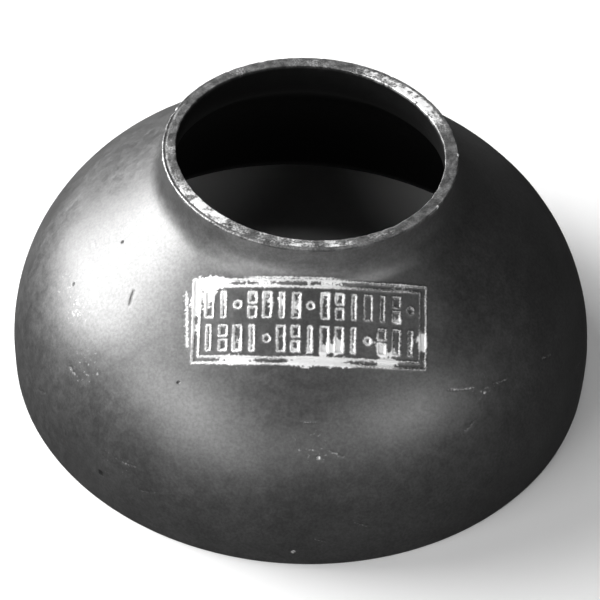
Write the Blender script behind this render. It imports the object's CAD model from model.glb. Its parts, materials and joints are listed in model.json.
"""Looks of the concentric reducer: a detailed mesh of its one pressed steel shell, studio and camera."""
import json
import math
import random

import bmesh
import bpy
import numpy as np
from mathutils import Matrix, Vector, noise


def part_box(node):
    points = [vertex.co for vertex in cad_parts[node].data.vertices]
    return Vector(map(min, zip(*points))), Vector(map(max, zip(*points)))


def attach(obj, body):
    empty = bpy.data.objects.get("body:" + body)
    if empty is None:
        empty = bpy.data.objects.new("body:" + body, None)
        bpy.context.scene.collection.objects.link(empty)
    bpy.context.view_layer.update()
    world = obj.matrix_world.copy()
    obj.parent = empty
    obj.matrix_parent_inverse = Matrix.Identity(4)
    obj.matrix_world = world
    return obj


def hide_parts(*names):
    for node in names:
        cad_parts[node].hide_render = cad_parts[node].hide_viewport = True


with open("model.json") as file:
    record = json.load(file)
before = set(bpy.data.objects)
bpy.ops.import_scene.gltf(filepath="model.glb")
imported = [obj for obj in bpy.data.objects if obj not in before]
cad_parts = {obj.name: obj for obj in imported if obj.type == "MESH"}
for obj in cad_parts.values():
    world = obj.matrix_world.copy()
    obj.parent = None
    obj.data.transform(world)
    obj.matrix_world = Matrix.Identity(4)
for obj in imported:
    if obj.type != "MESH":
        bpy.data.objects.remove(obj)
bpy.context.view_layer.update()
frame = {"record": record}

MM = 0.001
NODE = "reducer_body"
MOUNTS = {mount["name"]: mount for mount in frame["record"]["mounts"]}

# Radii and length come from the record, in millimetres here.
LARGE_R = MOUNTS["large_end_rim"]["dims"]["r_mm"]
LARGE_BORE = MOUNTS["large_end_bore"]["dims"]["r_mm"]
SMALL_R = MOUNTS["small_end_rim"]["dims"]["r_mm"]
SMALL_BORE = MOUNTS["small_end_bore"]["dims"]["r_mm"]
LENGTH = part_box(NODE)[1].z / MM

# The wall's side view, in millimetres, as part.py draws it.
LARGE_LAND = 5.0
SMALL_LAND = 3.0
SHOULDER_RADIUS = 50.0
THROAT_RADIUS = 10.0
EDGE_ROUND = 0.3

# The identification panel, in millimetres, as part.py draws it.
PANEL_WIDTH = 57.5
PANEL_HEIGHT = 20.5
PANEL_Z = 54.6
PANEL_TILT = math.radians(-0.6)
STAMP_DEPTH = 0.35
BORDER_LINE = 1.4
ROW_OFFSET = 4.1
BAR_HEIGHT = 6.0
WIDE_BAR = 1.7
THIN_BAR = 0.8
BLOCK_HEIGHT = 2.4
DOT_RADIUS = 0.8
MARK_PITCH = 3.55
ROWS = ((ROW_OFFSET, "WTDPWTWDWPTWTPD"), (-ROW_OFFSET, "TPWTDWPTWWTDPWT"))

# Clear handling marks on the outer side: azimuth in degrees (0 faces -Y, positive towards +X), height,
# length, direction in degrees above level, width, depth, and how bare the metal is (negative: soot).
SCRATCHES = (
    (-53, 48, 5, -60, 0.8, 0.12, -0.7),
    (-55, 30, 4, -10, 0.9, 0.05, 0.25),
    (-35, 19, 6, 10, 0.7, 0.05, 0.22),
    (-30, 14, 6, 20, 0.9, 0.05, 0.15),
    (0, 39, 5, 0, 0.6, 0.05, 0.15),
    (35, 39, 9, -20, 0.6, 0.07, 0.35),
    (45, 36, 6, -15, 0.5, 0.05, 0.25),
    (60, 32, 6, -25, 0.8, 0.08, 0.20),
)
# Clear pits and nicks on the outer side: azimuth, height, radius, depth, how bare (negative: soot).
NICKS = (
    (-70, 52, 0.45, 0.15, -1.0),
    (-70, 41, 0.45, 0.12, -0.8),
    (-41, 11, 0.80, 0.12, -0.7),
    (-30, 41, 0.40, 0.14, -0.8),
    (2, 32, 0.50, 0.12, 0.50),
    (-2, 5, 0.60, 0.15, 0.45),
    (40, 36, 0.40, 0.10, 0.60),
)
# Faint hairlines all round, drawn at random: how many, and the least and most of each measure.
HAIRLINE_COUNT = 26
HAIRLINE_SEED = 7
HAIRLINE_HEIGHT = (8, 48)
HAIRLINE_LENGTH = (2, 8)
HAIRLINE_DIRECTION = (-30, 30)
HAIRLINE_WIDTH = (0.4, 0.8)
HAIRLINE_DEPTH = (0.02, 0.05)
HAIRLINE_BARE = (0.06, 0.20)

# Scuffed places with many tiny bright specks: azimuth, height, radius, strength.
SCUFFS = (
    (-63, 40, 4.5, 0.40),
    (-52, 33, 5.5, 0.30),
    (-72, 40, 5.0, 0.25),
    (-38, 17, 6.0, 0.22),
    (1, 34, 5.0, 0.30),
    (40, 37, 5.0, 0.25),
    (118, 30, 5.0, 0.25),
    (-160, 38, 6.0, 0.25),
)
# Beads of metal on the outer edge of the small end's face: azimuth and radius.
BEADS = ((-113, 0.8), (88, 0.6), (56, 0.7), (-82, 0.5))
# Bright filed stretches of the small end's face: azimuth, half width in degrees, strength.
RIM_GLINTS = (
    (-49, 17, 1.4),
    (-20, 4, 0.6),
    (-7, 8, 0.95),
    (8, 3, 1.0),
    (14, 3, 0.5),
    (28, 7, 0.35),
    (112, 5, 0.75),
    (128, 17, 1.5),
    (150, 8, 0.9),
    (-150, 5, 0.35),
    (-88, 4, 0.5),
    (180, 12, 0.25),
)
# Where the stamp was struck hard or rubbed bright: across, up, radius and strength, in millimetres.
STRIKES = (
    (-26.0, 9.0, 4.0, 1.0),
    (-22.0, 9.8, 3.0, 0.8),
    (-28.0, 4.0, 2.6, 1.0),
    (-28.0, -2.0, 2.2, 0.5),
    (-12.0, 9.6, 6.0, 0.5),
    (4.0, 9.6, 6.0, 0.5),
    (22.0, 9.3, 4.0, 0.3),
    (-17.0, -9.6, 5.0, 0.7),
    (-2.0, -9.8, 4.5, 0.8),
    (7.0, -10.0, 4.5, 0.7),
    (-8.5, 4.5, 1.8, 0.8),
    (-3.5, 3.8, 1.8, 0.7),
    (6.2, -5.4, 2.0, 1.1),
    (3.0, -8.0, 1.5, 0.6),
    (19.5, -8.2, 2.6, 1.0),
    (27.5, -3.5, 2.2, 1.1),
    (22.0, 0.6, 1.6, 0.7),
    (16.0, -5.0, 2.2, 0.5),
)
INSIDE_SOOT = 0.95          # the inside is blacker than the outside
# The throat is rubbed paler by the die, most of all in front: heights in millimetres, then radians.
RUB_START = 60.5
RUB_FULL = 64.5
RUB_MIDDLE = 0.1
RUB_SPREAD = 1.05
BORE_UNEVENNESS = 0.5       # how far the inner side strays at the small end, in millimetres
FRONT_REACH = 1.0           # the stamped panel lies within this azimuth of the front, in radians
SHARP_ANGLE = math.radians(65)
MERGE_DISTANCE = 0.002      # millimetres within which the two sides of a seam are joined
COLUMNS = 240               # cells round the shell before the detail is refined
SEAM = math.radians(178)    # past this azimuth, marks and scuffs don't refine the cells
TABLE_STEPS = 8             # points of the side view's table in each row of cells


# ---------------------------------------------------------------- the wall's side view
def straight(start, end):
    """A straight stretch of the side view, as a function of t from 0 to 1."""
    start, end = np.array(start), np.array(end)
    return lambda t: start + np.multiply.outer(t, end - start)


def arc(centre, radius, start, end):
    """A round stretch of the side view; the angles are counted from the radius towards +Z."""
    def points(t):
        angle = start + t * (end - start)
        return np.stack([centre[0] + radius * np.cos(angle), centre[1] + radius * np.sin(angle)], -1)
    return points


def flank_lean(large_r, small_r, shoulder_r, throat_r):
    """Angle from the vertical of the straight flank that is tangent to both arcs, in radians."""
    rise = LENGTH - LARGE_LAND - SMALL_LAND
    bend = shoulder_r + throat_r
    offset = bend - (large_r - small_r)
    return math.asin(bend / math.hypot(rise, offset)) - math.atan2(offset, rise)


def wall_side(large_r, small_r, shoulder_r, throat_r, rows):
    """One side of the wall from the large end up, as (stretch, rows of cells) pairs."""
    lean = flank_lean(large_r, small_r, shoulder_r, throat_r)
    top = LENGTH - SMALL_LAND
    shoulder = arc((large_r - shoulder_r, LARGE_LAND), shoulder_r, 0.0, lean)
    throat = arc((small_r + throat_r, top), throat_r, math.pi + lean, math.pi)
    stretches = (
        straight((large_r, EDGE_ROUND), (large_r, LARGE_LAND)),
        shoulder,
        straight(shoulder(1.0), throat(0.0)),
        throat,
        straight((small_r, top), (small_r, LENGTH - EDGE_ROUND)),
    )
    return list(zip(stretches, rows))


def backwards(side):
    """The same side from the small end down."""
    return [(lambda t, f=stretch: f(1.0 - t), rows) for stretch, rows in reversed(side)]


def wall_loop():
    """The whole outline: the outer side upwards, the small face, the inner side downwards, the large face."""
    outer = wall_side(LARGE_R, SMALL_R, SHOULDER_RADIUS, THROAT_RADIUS, (6, 40, 18, 9, 5))
    inner = wall_side(
        LARGE_BORE,
        SMALL_BORE,
        SHOULDER_RADIUS - (LARGE_R - LARGE_BORE),
        THROAT_RADIUS + (SMALL_R - SMALL_BORE),
        (3, 22, 14, 6, 3),
    )
    quarter = math.pi / 2
    e = EDGE_ROUND
    small_end = [
        (arc((SMALL_R - e, LENGTH - e), e, 0.0, quarter), 3),
        (straight((SMALL_R - e, LENGTH), (SMALL_BORE + e, LENGTH)), 8),
        (arc((SMALL_BORE + e, LENGTH - e), e, quarter, 2 * quarter), 3),
    ]
    large_end = [
        (arc((LARGE_BORE + e, e), e, 2 * quarter, 3 * quarter), 3),
        (straight((LARGE_BORE + e, 0.0), (LARGE_R - e, 0.0)), 6),
        (arc((LARGE_R - e, e), e, 3 * quarter, 4 * quarter), 3),
    ]
    return outer, small_end, backwards(inner), large_end


class Wall:
    """The side view as a table, so that a row number, whole or not, gives a point and a normal."""

    def __init__(self):
        parts = wall_loop()
        counts = [sum(rows for stretch, rows in part) for part in parts]
        self.outer_end, self.rim_end, self.inner_end, self.rows = np.cumsum(counts)
        points = [
            stretch(np.arange(rows * TABLE_STEPS) / (rows * TABLE_STEPS))
            for part in parts
            for stretch, rows in part
        ]
        points = np.concatenate(points)
        self.table = np.vstack([points, points[:1]])
        wrapped = np.vstack([points[-1:], self.table, points[1:2]])
        run = wrapped[2:] - wrapped[:-2]
        run /= np.linalg.norm(run, axis=1)[:, None]
        self.normals = np.stack([run[:, 1], -run[:, 0]], -1)
        self.steps = np.arange(len(self.table)) / TABLE_STEPS

    def at(self, row):
        """Radius, height and the normal's two components at each row number."""
        columns = (self.table[:, 0], self.table[:, 1], self.normals[:, 0], self.normals[:, 1])
        return [np.interp(row, self.steps, column) for column in columns]

    def outer_at_height(self, height):
        """Radius and normal of the outer side at a height."""
        last = self.outer_end * TABLE_STEPS
        row = np.interp(height, self.table[:last, 1], self.steps[:last])
        radius, _, out, up = self.at(row)
        return radius, out, up


WALL = Wall()


def surface(azimuth, row):
    """Points and normals of the unworn shell; azimuth in radians from -Y towards +X."""
    radius, height, out, up = WALL.at(row)
    sine, cosine = np.sin(azimuth), -np.cos(azimuth)
    points = np.stack([radius * sine, radius * cosine, height], -1)
    normals = np.stack([out * sine, out * cosine, up], -1)
    return points, normals


# ---------------------------------------------------------------- marks on the surface
def smooth(value, low, high):
    """0 at low, 1 at high, and a smooth step between; low may be the larger."""
    t = np.clip((value - low) / (high - low), 0.0, 1.0)
    return t * t * (3 - 2 * t)


def bell(value, width):
    """1 at zero, falling smoothly to nothing over a few widths."""
    return np.exp(-((value / width) ** 2))


def box_distance(u, w, half_u, half_w):
    """Distance to the edge of a rectangle about the origin, negative inside."""
    du, dw = np.abs(u) - half_u, np.abs(w) - half_w
    outside = np.hypot(np.maximum(du, 0.0), np.maximum(dw, 0.0))
    return outside + np.minimum(np.maximum(du, dw), 0.0)


def panel_coordinates(points):
    """Distances across and up the stamping die's plane from the panel's centre."""
    lean = flank_lean(LARGE_R, SMALL_R, SHOULDER_RADIUS, THROAT_RADIUS)
    radius = WALL.outer_at_height(PANEL_Z)[0]
    offset = points - np.array([0.0, -radius, PANEL_Z])
    across = offset[:, 0]
    up = offset[:, 1] * math.sin(lean) + offset[:, 2] * math.cos(lean)
    c, s = math.cos(PANEL_TILT), math.sin(PANEL_TILT)
    return c * across + s * up, -s * across + c * up


def mark_distance(kind, u, w):
    """Distance to the edge of one plain mark of the panel."""
    if kind == "W":
        return box_distance(u, w, WIDE_BAR / 2, BAR_HEIGHT / 2)
    if kind == "T":
        return box_distance(u, w, THIN_BAR / 2, BAR_HEIGHT / 2)
    if kind == "P":
        rise = (BAR_HEIGHT - BLOCK_HEIGHT) / 2
        return box_distance(u, np.abs(w) - rise, WIDE_BAR / 2, BLOCK_HEIGHT / 2)
    return np.hypot(u, w) - DOT_RADIUS


def stamp_distance(u, w):
    """Distance to the nearest edge of the stamped panel, negative in a groove."""
    outer = box_distance(u, w, PANEL_WIDTH / 2, PANEL_HEIGHT / 2)
    inner = box_distance(u, w, PANEL_WIDTH / 2 - BORDER_LINE, PANEL_HEIGHT / 2 - BORDER_LINE)
    nearest = np.maximum(outer, -inner)
    for height, code in ROWS:
        first = -MARK_PITCH * (len(code) - 1) / 2
        for i, kind in enumerate(code):
            nearest = np.minimum(nearest, mark_distance(kind, u - first - MARK_PITCH * i, w - height))
    return nearest


def local_frame(azimuth, height):
    """A point of the outer side with its level and uphill directions."""
    a = math.radians(azimuth)
    radius, out, up = WALL.outer_at_height(height)
    centre = np.array([radius * math.sin(a), -radius * math.cos(a), height])
    level = np.array([math.cos(a), math.sin(a), 0.0])
    uphill = np.array([-up * math.sin(a), up * math.cos(a), out])
    return centre, level, uphill


def scratch_coordinates(points, azimuth, height, direction):
    """Distances along and across a scratch."""
    centre, level, uphill = local_frame(azimuth, height)
    offset = points - centre
    a, b = offset @ level, offset @ uphill
    c, s = math.cos(math.radians(direction)), math.sin(math.radians(direction))
    return c * a + s * b, -s * a + c * b


def hairlines():
    """Faint scratches drawn at random all round the shell, with the same measures as SCRATCHES."""
    draw = random.Random(HAIRLINE_SEED)
    spans = (
        (-180, 180),
        HAIRLINE_HEIGHT,
        HAIRLINE_LENGTH,
        HAIRLINE_DIRECTION,
        HAIRLINE_WIDTH,
        HAIRLINE_DEPTH,
        HAIRLINE_BARE,
    )
    return tuple(tuple(draw.uniform(*span) for span in spans) for _ in range(HAIRLINE_COUNT))


ALL_SCRATCHES = SCRATCHES + hairlines()


def marks_distance(points):
    """Distance to the edge of the nearest scratch or nick."""
    nearest = np.full(len(points), 99.0)
    for azimuth, height, length, direction, width, _, _ in ALL_SCRATCHES:
        along, across = scratch_coordinates(points, azimuth, height, direction)
        nearest = np.minimum(nearest, box_distance(along, across, length / 2, width / 2))
    for azimuth, height, radius, _, _ in NICKS:
        centre = local_frame(azimuth, height)[0]
        nearest = np.minimum(nearest, np.linalg.norm(points - centre, axis=1) - radius)
    return nearest


def scuffs_distance(points):
    """Distance to the nearest scuffed place's edge."""
    nearest = np.full(len(points), 99.0)
    for azimuth, height, radius, _ in SCUFFS:
        centre = local_frame(azimuth, height)[0]
        nearest = np.minimum(nearest, np.linalg.norm(points - centre, axis=1) - radius)
    return nearest


def fractal(points, size, octaves, seed):
    """Smooth noise of about -1 to 1 at each point, with features of the given size in millimetres."""
    shift = Vector((seed * 17.3, seed * 5.1, seed * 9.7))
    scaled = points / size
    return np.array([noise.fractal(Vector(p) + shift, 1.0, 2.0, octaves) for p in scaled])


# ---------------------------------------------------------------- wear, pressing and cutting
def strike_force(u, w, grain):
    """How hard the die met each place: about 0 to 1.5."""
    force = 0.25 + 0.25 * grain - 0.10 * smooth(u, -5.0, 25.0) * smooth(w, -2.0, 6.0)
    for across, up, radius, strength in STRIKES:
        force = force + strength * bell(np.hypot(u - across, w - up), radius)
    return np.clip(force, 0.0, 1.5)


def stamp_relief(points, outer, grain, fine):
    """Height and bareness that the identification stamp gives."""
    u, w = panel_coordinates(points)
    u, w = u + 0.10 * fine + 0.12 * grain, w + 0.10 * fine - 0.10 * grain
    distance = stamp_distance(u, w)
    force = strike_force(u, w, grain)
    height = -STAMP_DEPTH * outer * (0.75 + 0.25 * force) * smooth(-distance, -0.1, 0.28)
    height += 0.09 * outer * (0.6 + force) * bell(distance - 0.18, 0.16)
    line = bell(distance - 0.04, 0.27 + 0.16 * force)
    bottom = smooth(-distance, 0.0, 0.2) * smooth(force + 0.4 * fine, 0.5, 1.0)
    smear = smooth(force + 0.5 * fine, 0.95, 1.35) * smooth(distance, 1.6, 0.6)
    ghost = bell(u + PANEL_WIDTH / 2 + 1.6 + 0.05 * w, 0.32) * smooth(w, -8.5, -5.0) * smooth(w, 8.5, 6.0)
    second = bell(w - PANEL_HEIGHT / 2 - 0.7, 0.25) * smooth(u, -18.0, -12.0) * smooth(u, 8.0, 3.0)
    faint = 1 - 0.45 * smooth(u, 2.0, 24.0) * smooth(force, 0.9, 0.3)
    shine = faint * line * (0.62 + 0.45 * force) + bottom + smear + 0.75 * ghost + 0.6 * second
    return height - 0.05 * outer * (ghost + second), outer * np.clip(shine, 0.0, 1.0)


def handling_relief(points, outer, grain):
    """Height, bareness and soot that the scratches and nicks give."""
    height = np.zeros(len(points))
    shine = np.zeros(len(points))
    for azimuth, z, length, direction, width, depth, bare in ALL_SCRATCHES:
        along, across = scratch_coordinates(points, azimuth, z, direction)
        across = across + 0.12 * grain + 0.02 * length * bell(along, length / 4)
        ends = smooth(length / 2 - np.abs(along), 0.0, length / 5)
        groove = outer * ends * bell(across, width / 2)
        height -= depth * groove
        shine += bare * groove * (0.85 + 0.4 * grain)
    for azimuth, z, radius, depth, bare in NICKS:
        away = np.linalg.norm(points - local_frame(azimuth, z)[0], axis=1)
        pit = outer * smooth(radius * (1.0 + 0.3 * grain) - away, -radius * 0.35, radius * 0.35)
        height -= depth * pit
        shine += bare * pit
    specks = fractal(points, 0.8, 2, 5)
    for azimuth, z, radius, strength in SCUFFS:
        away = np.linalg.norm(points - local_frame(azimuth, z)[0], axis=1)
        scuff = outer * strength * bell(away, radius)
        height += 0.04 * scuff * specks
        shine += scuff * smooth(specks, 0.15, 0.7)
    return height, np.clip(shine, 0.0, 1.0), np.clip(-shine, 0.0, 1.0)


def rim_glint(azimuth, grain):
    """Where round the small face the file left bright metal: about 0 to 1."""
    glint = np.zeros(len(azimuth))
    for centre, half_width, strength in RIM_GLINTS:
        away = np.degrees(np.abs((azimuth - math.radians(centre) + math.pi) % math.tau - math.pi))
        glint = np.maximum(glint, strength * bell(away, half_width))
    return glint * (0.8 + 0.5 * grain)


def rim_relief(points, azimuth, cut, grain):
    """Height and bareness of the sawn and filed small face: tool chatter, chips and a burr."""
    inward = SMALL_R - np.hypot(points[:, 0], points[:, 1])
    width = SMALL_R - SMALL_BORE
    left = bell(azimuth + math.radians(65), math.radians(50))
    burr = np.clip(left * (0.8 + 0.6 * grain), 0.0, 1.2) * cut
    height = 0.10 * burr * bell(inward - 0.2, 0.22) - 0.20 * burr * bell(inward - 0.8, 0.32)
    chips = smooth(fractal(points, 2.2, 3, 31), 0.2, 0.6) * cut
    edges = np.maximum(bell(inward, 0.6), bell(inward - width, 0.6))
    height -= 0.12 * chips * edges
    height += cut * (0.06 * fractal(points, 0.9, 3, 32) + 0.05 * fractal(points, 2.5, 2, 33))
    patches = smooth(fractal(points * (1, 1, 0.2), 1.6, 3, 34), -0.45, 0.25)
    glint = rim_glint(azimuth, grain) * (0.25 + 0.75 * patches)
    bead = np.zeros(len(azimuth))
    for place, radius in BEADS:
        a = math.radians(place)
        away = np.hypot(points[:, 0] - SMALL_R * math.sin(a), points[:, 1] + SMALL_R * math.cos(a))
        bead = np.maximum(bead, cut * smooth(away, radius, 0.4 * radius))
    height += 0.12 * bead
    filed = glint * smooth(inward, 0.7, 1.1)
    lip = 0.5 * burr * bell(inward - 0.2, 0.2)
    return height, cut * np.clip(bead + filed + lip, 0.0, 1.0)


def uneven_wall(points, azimuth, row):
    """How far the inner side stands out from its nominal place: pressing leaves the wall uneven."""
    share = np.interp(row, [WALL.outer_end, WALL.rim_end], [0.0, 1.0])
    share = np.where(row > WALL.inner_end, 0.0, share)
    near_small_end = smooth(points[:, 2], 35.0, 62.0)
    return BORE_UNEVENNESS * share * near_small_end * np.cos(2 * (azimuth - math.radians(45)))


def worn_surface(azimuth, row):
    """The finished points with their masks: bareness, soot, cut face and rubbed throat."""
    points, normals = surface(azimuth, row)
    outer = (row <= WALL.outer_end).astype(float)
    cut = ((row > WALL.outer_end - 1) & (row < WALL.rim_end + 1)).astype(float)
    foot = (row > WALL.inner_end).astype(float)
    grain = fractal(points, 0.9, 3, 1)
    strike = fractal(points, 7.0, 2, 2)
    height = 0.07 * fractal(points, 16.0, 2, 3) + 0.012 * fractal(points, 3.0, 2, 4)
    height *= 1 - np.maximum(cut, foot)
    stamp_height, stamp_bare = stamp_relief(points, outer * (np.abs(azimuth) < FRONT_REACH), strike, grain)
    mark_height, mark_bare, soot = handling_relief(points, outer, grain)
    rim_height, rim_bare = rim_relief(points, azimuth, cut, grain)
    height += stamp_height + mark_height + rim_height
    points = points + normals * height[:, None]
    radial = points * (1, 1, 0)
    radial /= np.linalg.norm(radial, axis=1)[:, None]
    points += radial * uneven_wall(points, azimuth, row)[:, None]
    bare = np.clip(np.maximum(np.maximum(stamp_bare, mark_bare), rim_bare), 0.0, 1.0)
    inside = smooth(row, WALL.rim_end - 1, WALL.rim_end + 1) * (row < WALL.inner_end)
    rub = outer * smooth(points[:, 2], RUB_START, RUB_FULL) * bell(azimuth + RUB_MIDDLE, RUB_SPREAD)
    return points, bare, np.maximum(soot, INSIDE_SOOT * inside), np.maximum(cut, foot), rub


# ---------------------------------------------------------------- mesh
def flat_grid():
    """The shell cut open and laid flat: x counts columns and y counts rows of cells."""
    xs, ys = COLUMNS + 1, int(WALL.rows) + 1
    verts = [(x, y, 0.0) for y in range(ys) for x in range(xs)]
    faces = [
        (y * xs + x, y * xs + x + 1, (y + 1) * xs + x + 1, (y + 1) * xs + x)
        for y in range(ys - 1)
        for x in range(xs - 1)
    ]
    mesh = bpy.data.meshes.new("flat_grid")
    mesh.from_pydata(verts, [], faces)
    grid = bmesh.new()
    grid.from_mesh(mesh)
    bpy.data.meshes.remove(mesh)
    return grid


def grid_angles(flat):
    """Azimuth and row number of points of the flat grid; both sides of a seam get the same numbers."""
    return flat[:, 0] % COLUMNS / COLUMNS * math.tau - math.pi, flat[:, 1] % WALL.rows


def fineness(centres, level):
    """Which cells of the flat grid are halved again at this level."""
    azimuth, row = grid_angles(centres)
    points = surface(azimuth, row)[0]
    outer = row < WALL.outer_end
    front = outer & (np.abs(azimuth) < FRONT_REACH)
    u, w = panel_coordinates(points)
    panel = box_distance(u, w, PANEL_WIDTH / 2, PANEL_HEIGHT / 2)
    edge = np.abs(stamp_distance(u, w))
    marks = marks_distance(points)
    # The cells beside the seam at the back are left alone, so that its two sides still meet.
    outer &= np.abs(azimuth) < SEAM
    scuffed = outer & (scuffs_distance(points) < 1.0)
    rim = (row > WALL.outer_end - 2) & (row < WALL.rim_end + 1)
    if level == 0:
        return rim | (front & (panel < 2.4)) | (outer & (marks < 2.0)) | scuffed
    if level == 1:
        return (front & (panel < 1.2)) | (outer & (marks < 1.0)) | scuffed
    return (front & (edge < 0.34)) | (outer & (marks < 0.3))


def refine(grid):
    """Halves the cells near the fine marks, one level after another."""
    for level in range(3):
        grid.faces.ensure_lookup_table()
        centres = np.array([face.calc_center_median() for face in grid.faces])
        chosen = np.flatnonzero(fineness(centres, level))
        edges = {edge for index in chosen for edge in grid.faces[index].edges}
        bmesh.ops.subdivide_edges(grid, edges=list(edges), cuts=1, use_grid_fill=True)


def closed_mesh(name):
    """The worn shell as one closed mesh, in metres, with its masks as attributes."""
    grid = flat_grid()
    refine(grid)
    flat = np.array([vert.co for vert in grid.verts])
    points, *masks = worn_surface(*grid_angles(flat))
    layers = [grid.verts.layers.float.new(label) for label in ("bare", "soot", "cut", "rub")]
    for i, vert in enumerate(grid.verts):
        vert.co = points[i] * MM
        for layer, mask in zip(layers, masks):
            vert[layer] = mask[i]
    bmesh.ops.remove_doubles(grid, verts=grid.verts, dist=MERGE_DISTANCE * MM)
    bmesh.ops.recalc_face_normals(grid, faces=grid.faces)
    for face in grid.faces:
        face.smooth = True
    mesh = bpy.data.meshes.new(name)
    grid.to_mesh(mesh)
    grid.free()
    return mesh


# ---------------------------------------------------------------- material
class Nodes:
    """Short ways to add and join the nodes of one material."""

    def __init__(self, name):
        self.material = bpy.data.materials.new(name)
        self.material.use_nodes = True
        self.tree = self.material.node_tree
        self.shader = self.tree.nodes["Principled BSDF"]
        self.place = self.add("ShaderNodeTexCoord").outputs["Object"]

    def add(self, kind, **settings):
        node = self.tree.nodes.new(kind)
        for key, value in settings.items():
            setattr(node, key, value)
        return node

    def link(self, output, socket):
        self.tree.links.new(output, socket)

    def noise(self, size, detail=2.0, roughness=0.5, stretch=(1, 1, 1)):
        """Noise with features of the given size in millimetres."""
        mapping = self.add("ShaderNodeMapping")
        mapping.inputs["Scale"].default_value = stretch
        self.link(self.place, mapping.inputs["Vector"])
        node = self.add("ShaderNodeTexNoise")
        node.inputs["Scale"].default_value = 1 / (size * MM)
        node.inputs["Detail"].default_value = detail
        node.inputs["Roughness"].default_value = roughness
        self.link(mapping.outputs["Vector"], node.inputs["Vector"])
        return node.outputs["Fac"]

    def remap(self, value, low, high, to_low=0.0, to_high=1.0):
        """The value's range low..high taken to another range, held at its ends."""
        node = self.add("ShaderNodeMapRange", interpolation_type="SMOOTHSTEP")
        self.link(value, node.inputs["Value"])
        for label, number in zip(("From Min", "From Max", "To Min", "To Max"), (low, high, to_low, to_high)):
            node.inputs[label].default_value = number
        return node.outputs["Result"]

    def math(self, operation, a, b):
        """One sum of two values; b may be a number."""
        node = self.add("ShaderNodeMath", operation=operation)
        self.link(a, node.inputs[0])
        if isinstance(b, float):
            node.inputs[1].default_value = b
        else:
            self.link(b, node.inputs[1])
        return node.outputs[0]

    def attribute(self, name):
        return self.add("ShaderNodeAttribute", attribute_name=name).outputs["Fac"]

    def blend(self, factor, a, b):
        """One value turning into another as the factor goes from 0 to 1."""
        node = self.add("ShaderNodeMix")
        self.link(factor, node.inputs["Factor"])
        for name, value in (("A", a), ("B", b)):
            if isinstance(value, float):
                node.inputs[name].default_value = value
            else:
                self.link(value, node.inputs[name])
        return node.outputs["Result"]

    def bump(self, height, strength, depth, before=None):
        node = self.add("ShaderNodeBump")
        node.inputs["Strength"].default_value = strength
        node.inputs["Distance"].default_value = depth * MM
        self.link(height, node.inputs["Height"])
        if before is not None:
            self.link(before, node.inputs["Normal"])
        return node.outputs["Normal"]


def scaled_steel():
    """Hot-pressed steel under dark mill scale, rubbed bright on raised edges and on cut faces."""
    m = Nodes("scaled_steel")
    grain = m.noise(0.75, 4.0, 0.6)
    cloud = m.noise(14.0, 3.0, 0.55)
    blotch = m.noise(2.6, 3.0, 0.6)
    rings = m.noise(9.0, 3.0, 0.6, (1, 1, 14))
    fleck = m.noise(0.5, 2.0, 0.5)

    scale = m.remap(grain, 0.25, 0.75, 0.105, 0.145)
    scale = m.math("MULTIPLY", scale, m.remap(cloud, 0.3, 0.7, 0.93, 1.07))
    scale = m.math("MULTIPLY", scale, m.remap(blotch, 0.3, 0.7, 0.93, 1.07))
    scale = m.math("MULTIPLY", scale, m.remap(m.attribute("rub"), 0.0, 1.0, 1.0, 2.4))

    cut = m.attribute("cut")
    cut_tone = m.remap(blotch, 0.35, 0.65, 0.09, 0.20)
    cut_tone = m.math("MULTIPLY", cut_tone, m.remap(fleck, 0.3, 0.7, 0.75, 1.25))
    tone = m.blend(cut, scale, cut_tone)

    worn = m.math("ADD", m.attribute("bare"), m.remap(fleck, 0.3, 0.7, -0.18, 0.18))
    bare = m.math("MULTIPLY", m.remap(worn, 0.05, 0.9), m.remap(m.attribute("bare"), 0.02, 0.15))
    tone = m.blend(bare, tone, 0.9)
    tone = m.blend(m.attribute("soot"), tone, 0.02)
    colour = m.add("ShaderNodeCombineColor")
    for channel in ("Red", "Green", "Blue"):
        m.link(tone, colour.inputs[channel])
    m.link(colour.outputs["Color"], m.shader.inputs["Base Color"])

    m.link(m.blend(bare, m.blend(cut, 0.8, 0.5), 0.35), m.shader.inputs["Metallic"])
    rough = m.remap(blotch, 0.3, 0.7, 0.38, 0.44)
    rough = m.math("ADD", rough, m.remap(cloud, 0.3, 0.7, -0.015, 0.015))
    m.link(m.blend(bare, rough, 0.45), m.shader.inputs["Roughness"])

    fine = m.bump(grain, 0.2, 0.05)
    wide = m.bump(blotch, 0.2, 0.12, fine)
    m.link(m.bump(rings, 0.12, 0.10, wide), m.shader.inputs["Normal"])
    return m.material


def plain_floor_material():
    """Matt pale studio floor."""
    material = bpy.data.materials.new("pale_floor")
    material.use_nodes = True
    shader = material.node_tree.nodes["Principled BSDF"]
    shader.inputs["Base Color"].default_value = (0.9, 0.9, 0.9, 1)
    shader.inputs["Roughness"].default_value = 0.9
    shader.inputs["Specular IOR Level"].default_value = 0.1
    return material


# ---------------------------------------------------------------- the object
def build_shell():
    """The one piece of the object, riding its only body in place of the plain CAD node."""
    shell = bpy.data.objects.new("reducer_shell", closed_mesh("reducer_shell"))
    bpy.context.scene.collection.objects.link(shell)
    shell.data.materials.append(scaled_steel())
    shell.data.set_sharp_from_angle(angle=SHARP_ANGLE)
    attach(shell, "root")
    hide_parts(NODE)
    return shell


# ---------------------------------------------------------------- studio
FRONT = math.radians(-2.7)      # azimuth of the camera
LOOK_AT = Vector((0.0, 0.0, 40 * MM))
STAGE_RADIUS = 3.0
FLOOR_GAP = 0.05 * MM
CAMERA_ELEVATION = 42.63        # degrees
CAMERA_DISTANCE = 514.6 * MM
CAMERA_AIM = Vector((-0.7 * MM, 0, 15.3 * MM))
CAMERA_LENS = 115.5
CAMERA_ROLL = math.radians(2.95)


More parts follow.
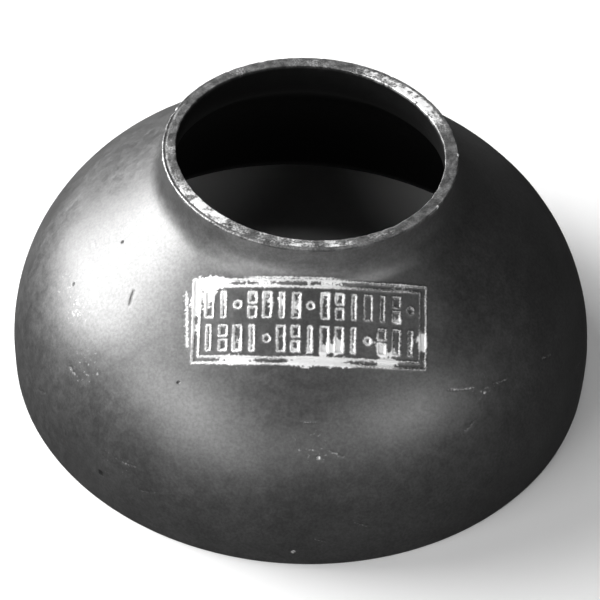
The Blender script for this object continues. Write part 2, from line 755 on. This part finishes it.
def around(azimuth, elevation, distance, centre=LOOK_AT):
    """A point at an azimuth counted from the camera's side towards +X, in degrees, and metres."""
    a, e = math.radians(azimuth) + FRONT, math.radians(elevation)
    return centre + distance * Vector((math.sin(a) * math.cos(e), -math.cos(a) * math.cos(e), math.sin(e)))


def stage_ring(name, radius, height):
    """A disc on the ground, or with a height a wall that stands on its edge."""
    ring = bmesh.new()
    bmesh.ops.create_circle(ring, segments=96, radius=radius, cap_ends=height == 0)
    if height:
        rim = bmesh.ops.extrude_edge_only(ring, edges=ring.edges[:])["geom"]
        upper = [item for item in rim if isinstance(item, bmesh.types.BMVert)]
        bmesh.ops.translate(ring, vec=(0, 0, height), verts=upper)
    mesh = bpy.data.meshes.new(name)
    ring.to_mesh(mesh)
    ring.free()
    thing = bpy.data.objects.new(name, mesh)
    thing.location.z = -FLOOR_GAP
    bpy.context.scene.collection.objects.link(thing)
    return thing


def floor():
    """A pale floor under the large end, and far off a pale wall that only the camera sees."""
    ground = stage_ring("floor", STAGE_RADIUS, 0)
    ground.data.materials.append(plain_floor_material())
    ground.visible_glossy = False
    wall = stage_ring("wall", STAGE_RADIUS, STAGE_RADIUS)
    glow = bpy.data.materials.new("pale_wall")
    glow.use_nodes = True
    shader = glow.node_tree.nodes["Principled BSDF"]
    shader.inputs["Base Color"].default_value = (0, 0, 0, 1)
    shader.inputs["Emission Color"].default_value = (1, 1, 1, 1)
    shader.inputs["Emission Strength"].default_value = 0.9
    wall.data.materials.append(glow)
    for ray in ("diffuse", "glossy", "transmission", "shadow"):
        setattr(wall, "visible_" + ray, False)


def soft_box(name, azimuth, elevation, width, height, power):
    """A rectangular studio light that faces the object."""
    light = bpy.data.lights.new(name, "AREA")
    light.shape = "RECTANGLE"
    light.size = width
    light.size_y = height
    light.energy = power
    lamp = bpy.data.objects.new(name, light)
    lamp.location = around(azimuth, elevation, LIGHT_DISTANCE)
    lamp.rotation_euler = (LOOK_AT - lamp.location).to_track_quat("-Z", "Y").to_euler()
    lamp.visible_camera = False
    bpy.context.scene.collection.objects.link(lamp)


# Soft lights: name, azimuth, elevation, width and height in metres, and power as a share of the key's.
LIGHT_DISTANCE = 2.0
KEY_POWER = 54
LIGHTS = (
    ("window", -105, 30, 1.2, 1.0, 1),
    ("window_back", -140, 25, 1.0, 0.9, 1 / 2),
    ("window_low", -110, 10, 1.4, 0.5, 1 / 3),
    ("front_left", -50, 30, 1.2, 0.8, 1 / 3),
    ("front_low", -30, 12, 1.2, 0.6, 1 / 8),
    ("front", 5, 22, 1.2, 0.8, 1 / 16),
    ("front_right", 45, 30, 1.0, 0.8, 1 / 6),
    ("behind", -170, 12, 1.2, 0.6, 1 / 10),
    ("top", 0, 88, 0.6, 0.6, 1 / 15),
)


def lights():
    """A broad window on the left, weak fills in front, to the right and behind, and a dim surrounding."""
    for name, azimuth, elevation, width, height, share in LIGHTS:
        soft_box(name, azimuth, elevation, width, height, share * KEY_POWER)
    world = bpy.data.worlds.new("studio")
    world.use_nodes = True
    background = world.node_tree.nodes["Background"]
    background.inputs["Color"].default_value = (1, 1, 1, 1)
    background.inputs["Strength"].default_value = 0.02
    bpy.context.scene.world = world


def camera():
    """The view of the photograph: from in front and well above, with a slight roll."""
    data = bpy.data.cameras.new("camera")
    data.lens = CAMERA_LENS
    data.sensor_width = 36.0
    data.clip_start = 0.01
    data.dof.use_dof = False
    body = bpy.data.objects.new("camera", data)
    body.location = around(0, CAMERA_ELEVATION, CAMERA_DISTANCE)
    turn = Matrix.Rotation(FRONT, 3, "Z")
    aim = turn @ CAMERA_AIM
    view = (aim - body.location).to_track_quat("-Z", "Y").to_matrix()
    roll = Matrix.Rotation(CAMERA_ROLL, 3, "Z")
    body.rotation_euler = (view @ roll).to_euler()
    bpy.context.scene.collection.objects.link(body)
    bpy.context.scene.camera = body


shell = build_shell()
floor()
lights()
camera()
bpy.context.scene.view_settings.view_transform = "Standard"
